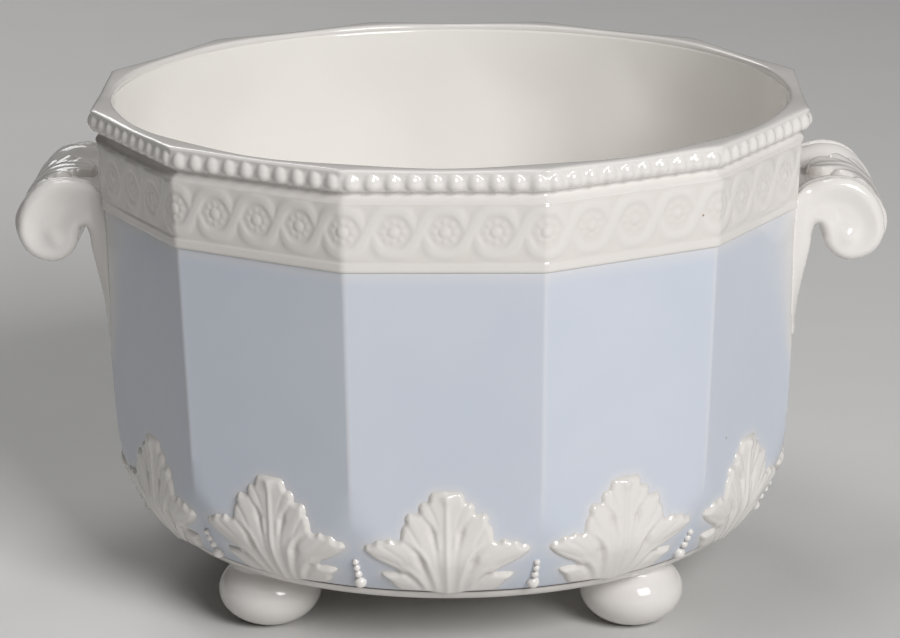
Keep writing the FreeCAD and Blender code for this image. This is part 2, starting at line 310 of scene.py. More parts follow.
# %% Where the pot is white or blue, with pale arrises of thin glaze and a painted highlight
HANDLE_ARRISES = (3, 4, 9, 10)
WHITE_FROM, WHITE_FULL = 82, 100  # heights between which white begins beside a handle
NARROWEST, WIDER, WIDER_OVER = 0.8, 16, 60
BELOW_BAND = (145.6, 149.2)
THINNED = 0.55
ARRIS_LINE = 0.9
near_arris = np.abs(np.abs(along) - half_length(apothem, rounding))
beside_handle = np.isin((side + (np.sign(along) > 0)) % SIDES, HANDLE_ARRISES)
spray_width = NARROWEST + WIDER * np.clip((height - WHITE_FROM) / WIDER_OVER, 0, 1)
bare = np.exp(-(near_arris / spray_width) ** 2) * ease(height, WHITE_FROM, WHITE_FULL) * beside_handle
bare = np.maximum(bare, THINNED * ease(height, *BELOW_BAND))
# A pale line on each arris: the blue runs thin there, and the line also paints the highlight of the
# rounded arris.
thin_glaze_and_highlight = np.exp(-(near_arris / ARRIS_LINE) ** 2) * ease(height, 50, 70)
# The inside is marked so that its white can be painted lighter: painted light falling into the pot.
mark(pot, "inside", (row > outer_rows[-1] + len(UNDER_RIM)) * 1.0)
mark(pot, "blue", outside * (1 - bare))
mark(pot, "arris", np.where(outside, thin_glaze_and_highlight, 0))
weld(pot)
told(pot)

# %% [markdown]
# ## The base ring
# Under the wall is a white ring with a round belly, set back so that a fine dark line shows above it. It
# is turned on the wheel, and Blender's spin is the same thing: one section, carried once round the axis.

# %% Spin the base ring
def spun(name, section, steps=192):
    """A closed section of (radius, height) points in mm, spun round the pot's axis."""
    deselect()
    bpy.ops.mesh.primitive_circle_add(vertices=len(section), radius=MM)
    piece = named(name)
    section = np.array(section)
    place(piece, section[:, 0], 0, section[:, 1])
    with editing(piece):
        bpy.ops.mesh.spin(steps=steps, angle=2 * math.pi, axis=(0, 0, 1), center=(0, 0, 0))
    weld(piece)
    return piece


base_low, base_high = low_and_high("base_ring")
RING_BOTTOM, RING_TOP, RING_RADIUS = base_low[2], base_high[2], base_high[0]
BELLY_FOOT, BELLY_MIDWAY = (107.6, RING_BOTTOM), (110.67, 25.67)
belly_middle, belly_radius = circle_through(BELLY_FOOT, BELLY_MIDWAY, (RING_RADIUS, RING_TOP))
ring_section = [(74.0, RING_BOTTOM), (85, RING_BOTTOM), (98, RING_BOTTOM), (106.2, RING_BOTTOM),
                (107.2, 23.78)]
for z in np.linspace(RING_BOTTOM + 0.4, RING_TOP - 0.5, 12):
    ring_section.append((belly_middle[0] + math.sqrt(belly_radius ** 2 - (z - belly_middle[1]) ** 2), z))
ring_section += [(RING_RADIUS - 0.25, RING_TOP - 0.12), (RING_RADIUS - 0.8, RING_TOP), (108, RING_TOP),
                 (98, RING_TOP), (85, RING_TOP), (74.0, RING_TOP), (73.2, RING_TOP - 0.3),
                 (72.9, RING_TOP - 1), (72.9, RING_BOTTOM + 1), (73.2, RING_BOTTOM + 0.3)]
base_ring = spun("base_ring_glazed", ring_section)
ring_height = points(base_ring)[:, 2] / MM
mark(base_ring, "joint", ease(ring_height, RING_TOP - 1.0, RING_TOP - 0.5))
told(base_ring)

# %% [markdown]
# ## The bun feet
# Four round feet are thrown or cast apart and luted on under the ring. A foot is a squashed ball with a
# flat pad to stand on and an ankle that widens into the ring. So one ball is scaled and widened, cut flat
# below and above with bisect, and the finished foot is copied to the other three places.

# %% One foot and its copies
def copy_of(piece, name, turn=0.0, mirror=False):
    """A copy with a mesh of its own, turned round the pot's axis or mirrored from right to left."""
    twin = piece.copy()
    twin.data = piece.data.copy()
    twin.name = twin.data.name = name
    bpy.context.scene.collection.objects.link(twin)
    if mirror:
        twin.data.transform(Matrix.Scale(-1, 4, (1, 0, 0)))
        twin.data.flip_normals()
    twin.data.transform(Matrix.Rotation(turn, 4, "Z"))
    return twin


def cut_flat(piece, height, keep_above):
    """Cuts a piece off at a height in mm and closes the cut."""
    with editing(piece):
        bpy.ops.mesh.bisect(plane_co=(0, 0, height * MM), plane_no=(0, 0, 1), use_fill=True,
                            clear_inner=keep_above, clear_outer=not keep_above)


foot_low, foot_high = low_and_high("foot_front_right")
foot_middle = (foot_low + foot_high) / 2
BELLY_HEIGHT, BELLY_HALF = 12.6, 13.2
ANKLE_FROM, ANKLE_RADIUS, ANKLE_SOFT = 19, 12.8, 1.5
FLARE_FROM, FLARE, FLARE_POWER = 20.5, 0.36, 1.35  # the ankle widens towards the ring
LET_IN = 0.8  # how far the foot reaches into the ring
deselect()
bpy.ops.mesh.primitive_uv_sphere_add(segments=72, ring_count=48, radius=1, location=(0, 0, 0))
foot = named("foot_front_right_glazed")
ball = points(foot)
foot_radius = foot_high[0] - foot_middle[0]
height = BELLY_HEIGHT + ball[:, 2] * BELLY_HALF
spread = np.hypot(ball[:, 0], ball[:, 1])
flared = ANKLE_RADIUS + FLARE * np.maximum(height - FLARE_FROM, 0) ** FLARE_POWER
ankle = np.where(height > ANKLE_FROM, flared, 0)
widened = soft_high(spread * foot_radius, ankle, ANKLE_SOFT) / np.maximum(spread, MIDDLE)
place(foot, foot_middle[0] + ball[:, 0] * widened, foot_middle[1] + ball[:, 1] * widened, height)
cut_flat(foot, 0, True)
cut_flat(foot, foot_top + LET_IN, False)
weld(foot)
only(foot)
bpy.ops.object.shade_smooth_by_angle(angle=math.radians(50))
feet = {"foot_front_right": foot}
for number, corner in enumerate(("back_right", "back_left", "front_left")):
    feet["foot_" + corner] = copy_of(foot, f"foot_{corner}_glazed", turn=(number + 1) * math.pi / 2)
print("feet stand", round(foot_middle[0], 1), "mm out, radius", round(foot_radius, 2))

# %% [markdown]
# ## The rim and its string of beads
# The rim has a smooth lip, and below it a string of beads whose tops run up into the lip under the glaze.
# A dark hollow lies under the beads and flares out to the frieze. Separate balls pushed into a ring would
# meet the lip in a hard line, so the rim is one sheet: its section is a closed loop, and the bead swells
# out of it with a soft join. There are ten beads on each side, and a corner always falls between two of
# them.

# %% The rim's section
BEADS = 10
BEAD_RADIUS = 3.1
BEAD_HEIGHT = 179.8
SEAT_APOTHEM = 128.47
BEAD_ROWS = 24
FACETED = 0.03  # the share of roundness where the twelve sides show
rim_section = np.array([  # apothem, height, share of roundness (1 is a circle)
    (125.95, 177.0, 1), (125.6, 179.5, 1), (125.33, 181.5, 1), (125.16, 183.0, 1), (125.2, 183.8, 1),
    (125.42, 184.4, 1), (125.85, 184.8, 1), (126.4, 184.97, 0.95), (127.0, RIM_TOP, 0.8),
    (127.8, RIM_TOP, 0.5), (128.5, 184.98, 0.25), (129.1, 184.9, 0.1), (129.6, 184.74, 0.05),
    (130.0, 184.5, FACETED), (130.2, 184.2, FACETED)])
lip_rows = len(rim_section)
bead_heights = np.linspace(183.9, 177.0, BEAD_ROWS)
hollow = np.array([(128.2, 176.9), (127.6, 176.6), (127.3, 176.1), (127.35, 175.6), (127.7, 175.1),
                   (128.2, 174.6), (128.7, 174.1), (129.15, 173.7), (129.5, 173.3), (129.68, 172.9),
                   (129.72, 172.5), (129.65, 172.1), (129.2, 171.85), (128.2, 172.0), (126.4, 174.5)])
loop = np.concatenate([
    rim_section,
    np.column_stack([np.full(BEAD_ROWS, SEAT_APOTHEM), bead_heights, np.full(BEAD_ROWS, FACETED)]),
    np.column_stack([hollow, np.full(len(hollow), FACETED)])])
print("the rim's loop has", len(loop), "points")

# %% The rim as one sheet
BEAD_STEPS = 11
RIM_ARRIS = 3.5
CORD = 1.9  # a cord joins the beads
NOSE, NOSE_AT, NOSE_REACH, NOSE_FROM = 1.75, 184.2, 2.2, 182.0  # the lip's rounded front
rim, column, row = clay_sheet("rim_glazed", SIDES * BEADS * BEAD_STEPS, len(loop))
row = row % len(loop)
apothem, height, roundness = loop[row].T
rounding = np.maximum(apothem * roundness, RIM_ARRIS)
side, step = np.divmod(column, BEADS * BEAD_STEPS)
share = step / (BEADS * BEAD_STEPS) * 2 - 1
in_bead_zone = (row >= lip_rows) & (row < lip_rows + len(bead_heights))
pitch = 2 * half_length(SEAT_APOTHEM, RIM_ARRIS) / BEADS
off_middle = ((step % BEAD_STEPS) / BEAD_STEPS - 0.5) * pitch
above = height - BEAD_HEIGHT
reach = np.where(above > 0, BEAD_RADIUS * 1.3, BEAD_RADIUS * 0.9)
inside_bead = np.clip(1 - (off_middle / BEAD_RADIUS) ** 2 - (above / reach) ** 2, 0, 1)
cord = CORD * np.sqrt(np.clip(1 - (above / reach) ** 2, 0, 1))
swell = soft_high(BEAD_RADIUS * inside_bead ** 0.5, cord, 0.8)
nose = NOSE * np.sqrt(np.clip(1 - ((NOSE_AT - height) / NOSE_REACH) ** 2, 0, 1))
swell = soft_high(swell, np.where(height > NOSE_FROM, nose, 0), 0.9)
apothem = apothem + np.where(in_bead_zone, swell, 0)
print("a bead swells out by", round(swell[in_bead_zone].max(), 2), "mm")

# %% Lay the rim on the wall
NECK_APOTHEM = 127
RIM_PROUD = 0.3
LIP_SAG, SAG_FROM, SAG_FULL = 0.5, 183, 184.4  # the lip dips between its corners
along = share * half_length(apothem, rounding)
sideways, outwards, _ = rounded_side(along, apothem, rounding)
angle = np.arctan2(sideways, outwards) + side * 2 * HALF_SIDE - math.pi / 2
radius = np.hypot(sideways, outwards)
x = radius * np.cos(angle)
below_neck = (height < NECK_HEIGHT) & (apothem > NECK_APOTHEM)
height = height - LIP_SAG * ease(height, SAG_FROM, SAG_FULL) * np.cos(math.pi / 2 * share) ** 2
place(rim, np.where(below_neck, set_back(x, height, RIM_PROUD), x), radius * np.sin(angle), height)
weld(rim)
told(rim)

# %% [markdown]
# ## Glaze
# Glaze is a thin layer of glass. It settles a little unevenly, so highlights on it waver; it is thicker
# and greyer where it pools and thinner over edges; and a few iron specks show in it. These effects are
# shared by both finishes, so each is a node group with named sockets, placed in each material with its
# own values. The hollows of the relief are also darkened with painted shade, and the pale lines on the
# arrises also hold a painted highlight.

# %% Node group: how the glaze settled
def new_group(name, inputs, outputs):
    group = bpy.data.node_groups.new(name, "ShaderNodeTree")
    for socket, kind, value in inputs:
        made = group.interface.new_socket(name=socket, in_out="INPUT", socket_type=kind)
        made.default_value = value
    for socket, kind in outputs:
        group.interface.new_socket(name=socket, in_out="OUTPUT", socket_type=kind)
    return group, group.nodes.new("NodeGroupInput"), group.nodes.new("NodeGroupOutput")


def feed(tree, socket, value):
    """Links a socket to the output of another node, or sets it to a plain value."""
    if isinstance(value, bpy.types.NodeSocket):
        tree.links.new(value, socket)
    else:
        socket.default_value = value


def new_node(tree, kind, **inputs):
    """A shader node; an underscore in a socket's name stands for a space."""
    node = tree.nodes.new("ShaderNode" + kind)
    for socket, value in inputs.items():
        feed(tree, node.inputs[socket.replace("_", " ")], value)
    return node


def sums(tree, operation, *values):
    """The output of a math node with these values."""
    node = tree.nodes.new("ShaderNodeMath")
    node.operation = operation
    for socket, value in zip(node.inputs, values):
        feed(tree, socket, value)
    return node.outputs[0]


FINE_SHARE = 0.06
settled, settled_in, settled_out = new_group(
    "settled_glaze",
    [("Ripple", "NodeSocketFloat", 1.0)],
    [("Height", "NodeSocketFloat"), ("Mottle", "NodeSocketFloat")])
where = new_node(settled, "TexCoord").outputs["Object"]
broad = new_node(settled, "TexNoise", Vector=where, Scale=38, Detail=1.5)
fine = new_node(settled, "TexNoise", Vector=where, Scale=260, Detail=1.0)
patches = new_node(settled, "TexNoise", Vector=where, Scale=17, Detail=3)
waves = sums(settled, "MULTIPLY_ADD", fine.outputs["Fac"], FINE_SHARE, broad.outputs["Fac"])
feed(settled, settled_out.inputs["Height"], sums(settled, "MULTIPLY", waves, settled_in.outputs["Ripple"]))
feed(settled, settled_out.inputs["Mottle"], patches.outputs["Fac"])
print("group", settled.name, "gives height and mottle")

# %% Node group: iron specks
RARE = 0.93  # only cells with a tone above this hold a speck
specks, specks_in, specks_out = new_group(
    "iron_specks", [("Spacing", "NodeSocketFloat", 90.0)], [("Mask", "NodeSocketFloat")])
where = new_node(specks, "TexCoord").outputs["Object"]
cells = new_node(specks, "TexVoronoi", Vector=where, Scale=specks_in.outputs["Spacing"])
dot = new_node(specks, "MapRange", Value=cells.outputs["Distance"], From_Min=0.05, From_Max=0.025)
tone = new_node(specks, "SeparateColor", Color=cells.outputs["Color"])
few = sums(specks, "GREATER_THAN", tone.outputs["Red"], RARE)
feed(specks, specks_out.inputs["Mask"], sums(specks, "MULTIPLY", dot.outputs["Result"], few))
print("group", specks.name, "gives a mask of scattered specks")

# %% [markdown]
# ## The white and the blue finish
# The white glaze is warm and glossy. The blue is brushed or poured on the panels only, and it runs thin
# over the arrises, where the white body shows through as a pale line; that line also holds a painted
# highlight of the rounded arris. The inside white is painted lighter, as painted light falling into the
# pot. Colours are written as they look, so a helper turns a display colour into the linear numbers that
# a shader wants.

# %% Colours and helpers for materials
def display(red, green, blue):
    """A colour as it shows on a screen, 0 to 255, in the linear numbers of a shader."""
    shares = [c / 255 for c in (red, green, blue)]
    return tuple([c / 12.92 if c < 0.04045 else ((c + 0.055) / 1.055) ** 2.4 for c in shares] + [1.0])


def mixed(tree, share, first, second):
    """A colour mix; share is a socket or a number, first and second are sockets or colours."""
    node = tree.nodes.new("ShaderNodeMix")
    node.data_type = "RGBA"
    for socket, value in (("Factor", share), ("A", first), ("B", second)):
        feed(tree, [s for s in node.inputs if s.name == socket and s.enabled][0], value)
    return [s for s in node.outputs if s.enabled][0]


def ranged(tree, value, low, high):
    """Spreads the middle of a noise over a range."""
    node = new_node(tree, "MapRange", Value=value, From_Min=0.3, From_Max=0.7, To_Min=low, To_Max=high)
    return node.outputs["Result"]


def placed(tree, group, **values):
    """A node group placed in a material with its own values."""
    node = new_node(tree, "Group")
    node.node_tree = group
    for socket, value in values.items():
        feed(tree, node.inputs[socket], value)
    return node


def read(tree, attribute):
    """What mark wrote for each point."""
    node = new_node(tree, "Attribute")
    node.attribute_name = attribute
    return node.outputs["Fac"]


WHITE = display(230, 226, 222)
WHITE_POOLED = display(224, 220, 216)
# Painted light: the inside white is lighter than the same glaze outside.
WHITE_INSIDE_PAINTED_LIGHT = display(240, 237, 232)
# Pooled glaze and painted shade: the hollows of the relief are greyer and darker.
WHITE_POOLED_AND_SHADED = display(216, 211, 205)
BLUE = display(203, 208, 218)
BLUE_POOLED = display(198, 204, 215)
# The pale line on the arrises: thin blue glaze, and a painted highlight of the rounded edge.
BLUE_THIN_AND_HIGHLIGHT = display(209, 212, 219)
JOINT = display(98, 90, 82)
IRON = display(150, 128, 104)
print("white inside is", [round(c, 3) for c in WHITE_INSIDE_PAINTED_LIGHT[:3]], "in linear numbers")


# %% The two glazes
def glaze(name, ripple):
    """A glossy glaze with its settling and specks; returns its tree, shader, mottle and specks too."""
    material = bpy.data.materials.new(name)
    material.use_nodes = True
    tree = material.node_tree
    shader = tree.nodes["Principled BSDF"]
    shader.inputs["IOR"].default_value = 1.5
    flow = placed(tree, settled, Ripple=ripple)
    iron = placed(tree, specks, Spacing=90.0)
    bump = new_node(tree, "Bump", Strength=0.35, Distance=0.0009, Height=flow.outputs["Height"])
    tree.links.new(bump.outputs["Normal"], shader.inputs["Normal"])
    tree.links.new(ranged(tree, flow.outputs["Mottle"], 0.07, 0.15), shader.inputs["Roughness"])
    return material, tree, shader, flow.outputs["Mottle"], iron.outputs["Mask"]


white_glaze, tree, shader, mottle, iron = glaze("white_glaze", 1.0)
tint = mixed(tree, ranged(tree, mottle, 0.0, 1.0), WHITE, WHITE_POOLED)
# The hollows of the relief get pooled glaze and painted shade.
tint = mixed(tree, read(tree, "hollow"), tint, WHITE_POOLED_AND_SHADED)
tint = mixed(tree, read(tree, "joint"), tint, JOINT)
tree.links.new(mixed(tree, iron, tint, IRON), shader.inputs["Base Color"])

blue_glaze, tree, shader, mottle, iron = glaze("blue_glaze", 1.0)
blue = mixed(tree, ranged(tree, mottle, 0.0, 1.0), BLUE, BLUE_POOLED)
# The arrises get thin glaze and a painted highlight.
blue = mixed(tree, read(tree, "arris"), blue, BLUE_THIN_AND_HIGHLIGHT)
white = mixed(tree, ranged(tree, mottle, 0.0, 1.0), WHITE, WHITE_POOLED)
blue = mixed(tree, read(tree, "halo"), blue, white)
# The inside gets painted light.
white = mixed(tree, read(tree, "inside"), white, WHITE_INSIDE_PAINTED_LIGHT)
tint = mixed(tree, read(tree, "blue"), white, blue)
tree.links.new(mixed(tree, iron, tint, IRON), shader.inputs["Base Color"])


def finish(piece, material, slot, *nodes):
    """Gives a piece its glaze and its place on the pot, and hides the CAD nodes that it stands for."""
    piece.data.materials.clear()
    piece.data.materials.append(material)
    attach(piece, "root")
    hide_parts(*nodes)


finish(pot, blue_glaze, "panel_glaze", "pot_body")
finish(base_ring, white_glaze, "white_glaze", "base_ring")
finish(rim, white_glaze, "white_glaze", "rim_ring", "rim_beads")
for node, piece in feet.items():
    finish(piece, white_glaze, "white_glaze", node)
print("finished", len(feet) + 3, "pieces")

# %% [markdown]
# ## The guilloche frieze
# Below the rim runs a white band of guilloche: two strands that wind round a row of rosettes and cross
# between them, the rising strand always on top. A rosette sits on each arris and three between, and a
# plain strip closes the band below. Bevelled curves could make the strands, but a seam would then show at
# every arris. So each side is a sheet that bends round its half of the arrises, and the relief is a
# height for each point of the sheet.

# %% Heights of the guilloche
frieze_low, frieze_high = low_and_high("frieze_panel_01")
BAND_BOTTOM, BAND_TOP = frieze_low[2], frieze_high[2]
PLAIN_STRIP = 4.1
BAND_MIDDLE = (BAND_BOTTOM + PLAIN_STRIP + BAND_TOP) / 2 + 0.6
BAND_ARRIS = 5.0
WINDING = 7.7  # how far a strand swings from the middle
FULLNESS = 0.35  # how much fuller than a sine its swing is
STRAND_HALF, STRAND_HEIGHT = 2.3, 0.48
CROSSING_HALF, CROSSING_DEPTH = 2.3, 0.3
PETALS = 8
FLOWER_HEIGHT, FLOWER_REACH = 0.28, 4.9
DIP_DEPTH, DIP_AT, DIP_HALF = 0.18, 2.3, 0.6
BEAD_RISE, BEAD_REACH = 0.46, 1.9
GROOVE_DEPTH, GROOVE_AT, GROOVE_HALF = 0.09, 5.7, 0.5
RING_HEIGHT, RING_AT, RING_HALF = 0.3, 7.3, 1.6
print("band", round(BAND_BOTTOM, 1), "to", round(BAND_TOP, 1), "middle", round(BAND_MIDDLE, 2))


def strand(across, up, period, going):
    """How high the strand stands that goes over (going 1) or under (going -1) the rosettes."""
    wave = np.cos(math.pi * across / period)
    path = going * WINDING * wave * (1 + FULLNESS - FULLNESS * wave ** 2)
    swing = WINDING * (1 + FULLNESS - 3 * FULLNESS * wave ** 2)
    slope = swing * math.pi / period * np.sin(math.pi * across / period)
    apart = np.abs(up - path) / np.sqrt(1 + slope ** 2)
    under = np.exp(-((across - going * period / 2) / CROSSING_HALF) ** 2)
    return np.exp(-(apart / STRAND_HALF) ** 3) * (STRAND_HEIGHT - CROSSING_DEPTH * under)


def rosette(across, up):
    """Petals round a bead, with a groove and a ring round them."""
    reach = np.hypot(across, up)
    petals = 0.78 + 0.22 * np.cos(PETALS * np.arctan2(up, across))
    flower = FLOWER_HEIGHT * np.exp(-(reach / (FLOWER_REACH * petals ** 0.2)) ** 6)
    flower = flower * (1 - (1 - petals) * ease(reach, 1.5, 3.5))
    dip = DIP_DEPTH * np.exp(-((reach - DIP_AT) / DIP_HALF) ** 2)
    bead = BEAD_RISE * np.sqrt(np.clip(1 - (reach / BEAD_REACH) ** 2, 0, 1))
    groove = GROOVE_DEPTH * np.exp(-((reach - GROOVE_AT) / GROOVE_HALF) ** 2)
    ring = RING_HEIGHT * np.exp(-((reach - RING_AT) / RING_HALF) ** 2)
    return soft_high(soft_high(flower - dip, bead, 0.15) - groove, ring, 0.1)


# %% One side of the band
BAND_FLAT = 0.97
ROSETTES = 4  # on one side, the two on its arrises counted as halves
GROUND = 0.35  # how far the band's ground stands off the wall
STRIP_HEIGHT = 0.5
LOWER_EDGE = 1.3  # the band's lower edge is rounded over this height
BAND_FULL = 1.1  # at this relief neither pooled glaze nor painted shade darkens the band
band_steps = np.concatenate([np.linspace(-1, -BAND_FLAT, 9)[:-1], np.linspace(-BAND_FLAT, BAND_FLAT, 166),
                             np.linspace(BAND_FLAT, 1, 9)[1:]])
band_rows = np.concatenate([[BAND_BOTTOM - 0.15, BAND_BOTTOM],
                            BAND_BOTTOM + np.array([0.08, 0.2, 0.4, 0.65, 0.95]),
                            np.linspace(BAND_BOTTOM + 1.25, BAND_TOP + 0.2, 62)])
band, column, row = clay_sheet("frieze_panel_01_glazed", len(band_steps) - 1, len(band_rows) - 1)
height = band_rows[row]
apothem = wall_apothem(height)
length = half_length(apothem, BAND_ARRIS)
along = band_steps[column] * length
period = 2 * length / ROSETTES
in_cell = ((band_steps[column] * ROSETTES / 2 + 0.5) % 1 - 0.5) * period
above = height - BAND_MIDDLE
relief = soft_high(strand(in_cell, above, period, 1), strand(in_cell, above, period, -1), 0.1)
strip_top = BAND_BOTTOM + PLAIN_STRIP
relief = soft_high(relief, rosette(in_cell, above), 0.12) * ease(height, strip_top - 0.2, strip_top + 0.7)
strip = STRIP_HEIGHT * (1 - ease(height, strip_top - 0.9, strip_top + 0.1))
relief = GROUND + soft_high(relief, strip, 0.15)
rise = np.clip((height - BAND_BOTTOM) / LOWER_EDGE, 0, 1)
relief = relief * np.sqrt(rise * (2 - rise))
relief = np.where(height < BAND_BOTTOM, -0.3, relief) - 0.15 * ease(height, BAND_TOP - 0.5, BAND_TOP + 0.1)
sideways, outwards, turn = rounded_side(along, apothem, BAND_ARRIS)
place(band, sideways + relief * np.sin(turn), -(outwards + relief * np.cos(turn)), height)
# The low ground of the band is darkened: pooled glaze and painted shade.
mark(band, "hollow", np.clip(1 - relief / BAND_FULL, 0, 1))
print("relief from", round(relief.min(), 2), "to", round(relief.max(), 2), "mm")


# %% Close the band behind and copy it round the pot
def closed_behind(piece, depth):
    """Draws the border of a sheet that faces the front back into the wall and closes it."""
    with editing(piece):
        bpy.ops.mesh.select_mode(type="EDGE")
        bpy.ops.mesh.normals_make_consistent(inside=False)
        bpy.ops.mesh.select_all(action="DESELECT")
        bpy.ops.mesh.select_non_manifold(use_wire=False, use_multi_face=False, use_non_contiguous=False,
                                         use_verts=False)
        bpy.ops.mesh.extrude_edges_move(TRANSFORM_OT_translate={"value": (0, depth * MM, 0)})
        bpy.ops.mesh.edge_face_add()
        bpy.ops.mesh.select_all(action="SELECT")
        bpy.ops.mesh.normals_make_consistent(inside=False)
    bpy.ops.object.shade_smooth_by_angle(angle=math.radians(65))


def all_round(piece, stem):
    """Twelve copies, one on each side, each with its own mesh; the first is the piece itself."""
    ring = {f"{stem}_01": piece}
    for number in range(1, SIDES):
        node = f"{stem}_{number + 1:02d}"
        ring[node] = copy_of(piece, node + "_glazed", turn=number * 2 * HALF_SIDE)
    return ring


BAND_DEPTH = 1.4
BAND_PROUD = 0.45
SIDE_HALF = 33  # points nearer than this to the middle of a handle's side keep their relief
closed_behind(band, BAND_DEPTH)
told(band)
bands = all_round(band, "frieze_panel")
for piece in bands.values():
    x, y, z = points(piece).T / MM
    proud = np.where(np.abs(y) < SIDE_HALF, np.abs(x) - wall_apothem(z), BAND_PROUD)
    place(piece, set_back(x, z, proud), y, z)

# %% [markdown]
# ## Pressing leaves
# The leaves were pressed in moulds and luted on. Their relief is low and soft: broad lobes with stepped
# edges, grooves drawn from the notches to the foot, and drop-shaped eyes. Bars melted together with a
# remesh look like fingers, so a leaf is pressed instead: a sheet gets a height at each point, from how
# far the point lies inside the leaf's outline and from lines drawn with a tool. What lies outside is cut
# away with a mask, the sheet is laid over the pot, and a solidify modifier gives it a back.

# %% Helpers for pressed relief
def softened(outline, share=0.2, rounds=2):
    """Cuts the corners of a closed outline, as a worn mould does."""
    for _ in range(rounds):
        step = np.roll(outline, -1, axis=0) - outline
        outline = np.stack([outline + share * step, outline + (1 - share) * step], axis=1).reshape(-1, 2)
    return outline


def both_halves(right_half):
    """A closed outline from the points of its right half, which begin and end on the middle line."""
    right = np.array(right_half, dtype=float)
    return softened(np.concatenate([right, right[-2:0:-1] * (-1, 1)]))


def beside(across, up, start, end):
    """How far along a piece of a line a point lies, from 0 to 1, and how far from it."""
    run, rise = end[0] - start[0], end[1] - start[1]
    share = np.clip(((across - start[0]) * run + (up - start[1]) * rise) / (run ** 2 + rise ** 2), 0, 1)
    return share, np.hypot(across - start[0] - share * run, up - start[1] - share * rise)


def inside_by(across, up, outline):
    """How far each point lies inside a closed outline; outside it is negative."""
    nearest = np.full(len(across), np.inf)
    inside = np.zeros(len(across), dtype=bool)
    for start, end in zip(outline, np.roll(outline, -1, axis=0)):
        nearest = np.minimum(nearest, beside(across, up, start, end)[1])
        if start[1] != end[1]:
            crossing = start[0] + (up - start[1]) / (end[1] - start[1]) * (end[0] - start[0])
            inside ^= ((start[1] > up) != (end[1] > up)) & (across < crossing)
    return np.where(inside, nearest, -nearest)


def drawn(across, up, lines):
    """Height of drawn lines, whose bends are (across, up, half width, height); grooves go below 0."""
    total = np.zeros(len(across))
    for line in lines:
        strongest = np.zeros(len(across))
        for start, end in zip(line, line[1:]):
            share, far = beside(across, up, start, end)
            half, high = (start[i] + share * (end[i] - start[i]) for i in (2, 3))
            stroke = high * np.exp(-(far / half) ** 2)
            strongest = np.where(np.abs(stroke) > np.abs(strongest), stroke, strongest)
        total += strongest
    return total


def apply_modifier(piece, kind, **settings):
    only(piece)
    made = piece.modifiers.new(kind.lower(), kind)
    for setting, value in settings.items():
        setattr(made, setting, value)
    bpy.ops.object.modifier_apply(modifier=made.name)


MARGIN = 0.8  # of sheet round a leaf
CUT_BELOW = -0.9  # what lies lower than this is cut away


def pressed(name, outline, lines, spacing, thickness, edge):
    """A sheet with a leaf's relief; also returns across, up and lift of its points."""
    low, high = outline.min(axis=0) - MARGIN, outline.max(axis=0) + MARGIN
    columns, rows = (int(count) for count in np.ceil((high - low) / spacing))
    piece, column, row = clay_sheet(name, columns, rows)
    across = low[0] + (high[0] - low[0]) * column / columns
    up = low[1] + (high[1] - low[1]) * row / rows
    inside = inside_by(across, up, outline)
    body = thickness * (1 - (1 - np.clip(inside / edge, 0, 1)) ** 2)
    relief = drawn(np.abs(across), up, lines) * ease(inside, 0, edge)
    lift = np.where(inside > 0, body + relief, 2 * thickness / edge * inside)
    place(piece, across / MM, up / MM, lift / MM)
    kept = piece.vertex_groups.new(name="kept")
    kept.add([int(index) for index in np.flatnonzero(lift > CUT_BELOW)], 1.0, "REPLACE")
    apply_modifier(piece, "MASK", vertex_group="kept")
    piece.vertex_groups.clear()
    return (piece, *points(piece).T)


# %% [markdown]
# ## The acanthus leaves
# At the foot of each panel an acanthus leaf lies against the wall. A rib runs up its middle to a glossy
# rounded tip, three pairs of lobes spread from it, and a blunt point hangs over the ring below. Valleys
# run from the notches down to the foot, each with an eye at its head and a ridge beside it.

# %% Outline and lines of one leaf
LEAF_EDGE = both_halves([  # from the hanging point to the tip: across, up
    (0, 27.6), (3.2, 28.2), (6.7, 29.2), (16.6, 29.4), (18.8, 31.4), (20.2, 33.8), (22.6, 35.8),
    (23.4, 37.6), (20.0, 38.2), (16.2, 38.0), (18.8, 40.2), (22.2, 41.8), (26.4, 44.4), (29.4, 47.2),
    (28.4, 49.4), (26.0, 49.6), (24.4, 51.4), (21.8, 50.9), (20.0, 52.2), (18.0, 50.8), (16.3, 51.4),
    (16.2, 53.8), (15.6, 56.4), (14.4, 57.4), (14.8, 59.6), (13.4, 61.6), (11.4, 61.2), (9.6, 61.4),
    (10.0, 63.6), (8.8, 65.4), (6.5, 65.4), (6.2, 67.6), (5.2, 69.2), (2.6, 69.6), (0, 69.6)])
LEAF_VALLEYS = [
    [(9.4, 61.6, 0.8, -0.2), (7.4, 58.8, 0.9, -0.25), (5.7, 56.8, 1.0, -0.6), (4.8, 54.0, 1.3, -1.1),
     (4.3, 51.0, 1.0, -0.5), (3.7, 47, 0.9, -0.2), (2.8, 39, 0.9, -0.15), (2.3, 33, 0.8, -0.05)],
    [(16.0, 51.6, 0.8, -0.25), (13.0, 49.0, 0.9, -0.25), (10.4, 46.4, 1.1, -0.6),
     (9.2, 43.2, 1.4, -1.15), (8.2, 40.2, 1.1, -0.55), (7.0, 37, 1.0, -0.25), (5.8, 33, 1.0, -0.15),
     (5.2, 30.5, 0.8, -0.05)],
    [(16.2, 38.2, 0.8, -0.5), (13.8, 37.4, 1.1, -0.8), (11.4, 35, 1.0, -0.4), (9.6, 32, 0.9, -0.2),
     (8.8, 30.4, 0.8, -0.05)]]
